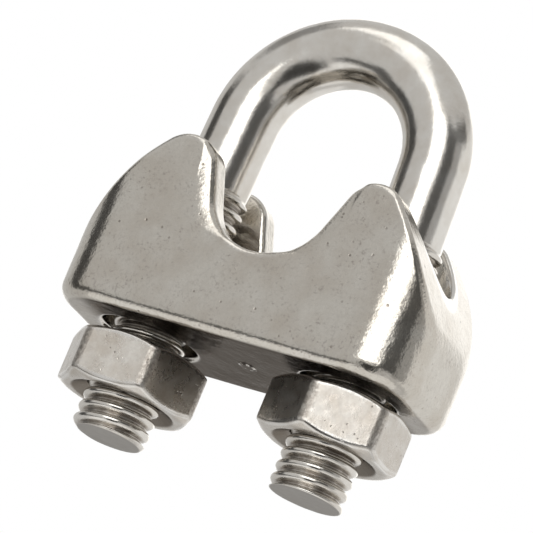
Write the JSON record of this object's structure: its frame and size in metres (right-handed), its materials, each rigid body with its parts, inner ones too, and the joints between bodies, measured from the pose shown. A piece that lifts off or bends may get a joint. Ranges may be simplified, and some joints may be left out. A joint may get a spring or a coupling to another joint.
{
  "type": "wire rope clip",
  "caption": "Wire rope clip: a threaded U-bolt, a cast saddle with a rope seat between rounded horns, and hexagon nuts that clamp the saddle towards the bow.",
  "frame": {"origin": "on the axis of the rope seat in the saddle, halfway between its two walls", "axes": "+Y along the rope, +Z from the saddle towards the bow of the U-bolt, +X towards the right leg"},
  "size_m": [0.0296, 0.0138, 0.0366],
  "materials": {
    "rod_steel": "polished stainless rod with drawing lines and small handling marks",
    "cast_steel": "investment-cast stainless steel, tumble polished, with fine pits",
    "nut_steel": "machined stainless steel, satin flats"
  },
  "bodies": {
    "u_bolt": {"u_bolt": "rod_steel"},
    "saddle": {"saddle": "cast_steel"},
    "nut_left": {"nut_left": "nut_steel"},
    "nut_right": {"nut_right": "nut_steel"}
  },
  "joints": [
    {"name": "saddle_slide", "type": "slide", "parent": "u_bolt", "child": "saddle", "axis": [0, 0, 1], "range_m": [-0.003, 0.0072]},
    {"name": "nut_left_turn", "type": "hinge", "parent": "saddle", "child": "nut_left", "pos_m": [-0.00842, 0, -0.01478], "axis": [0, 0, 1], "range_deg": [-1080, 2592]},
    {"name": "nut_right_turn", "type": "hinge", "parent": "saddle", "child": "nut_right", "pos_m": [0.00842, 0, -0.01414], "axis": [0, 0, 1], "range_deg": [-1080, 2592]}
  ],
  "couplings": [
    {"joint": "nut_left_turn", "follows": "saddle_slide", "rad_per_m": 6283.2},
    {"joint": "nut_right_turn", "follows": "saddle_slide", "rad_per_m": 6283.2}
  ]
}
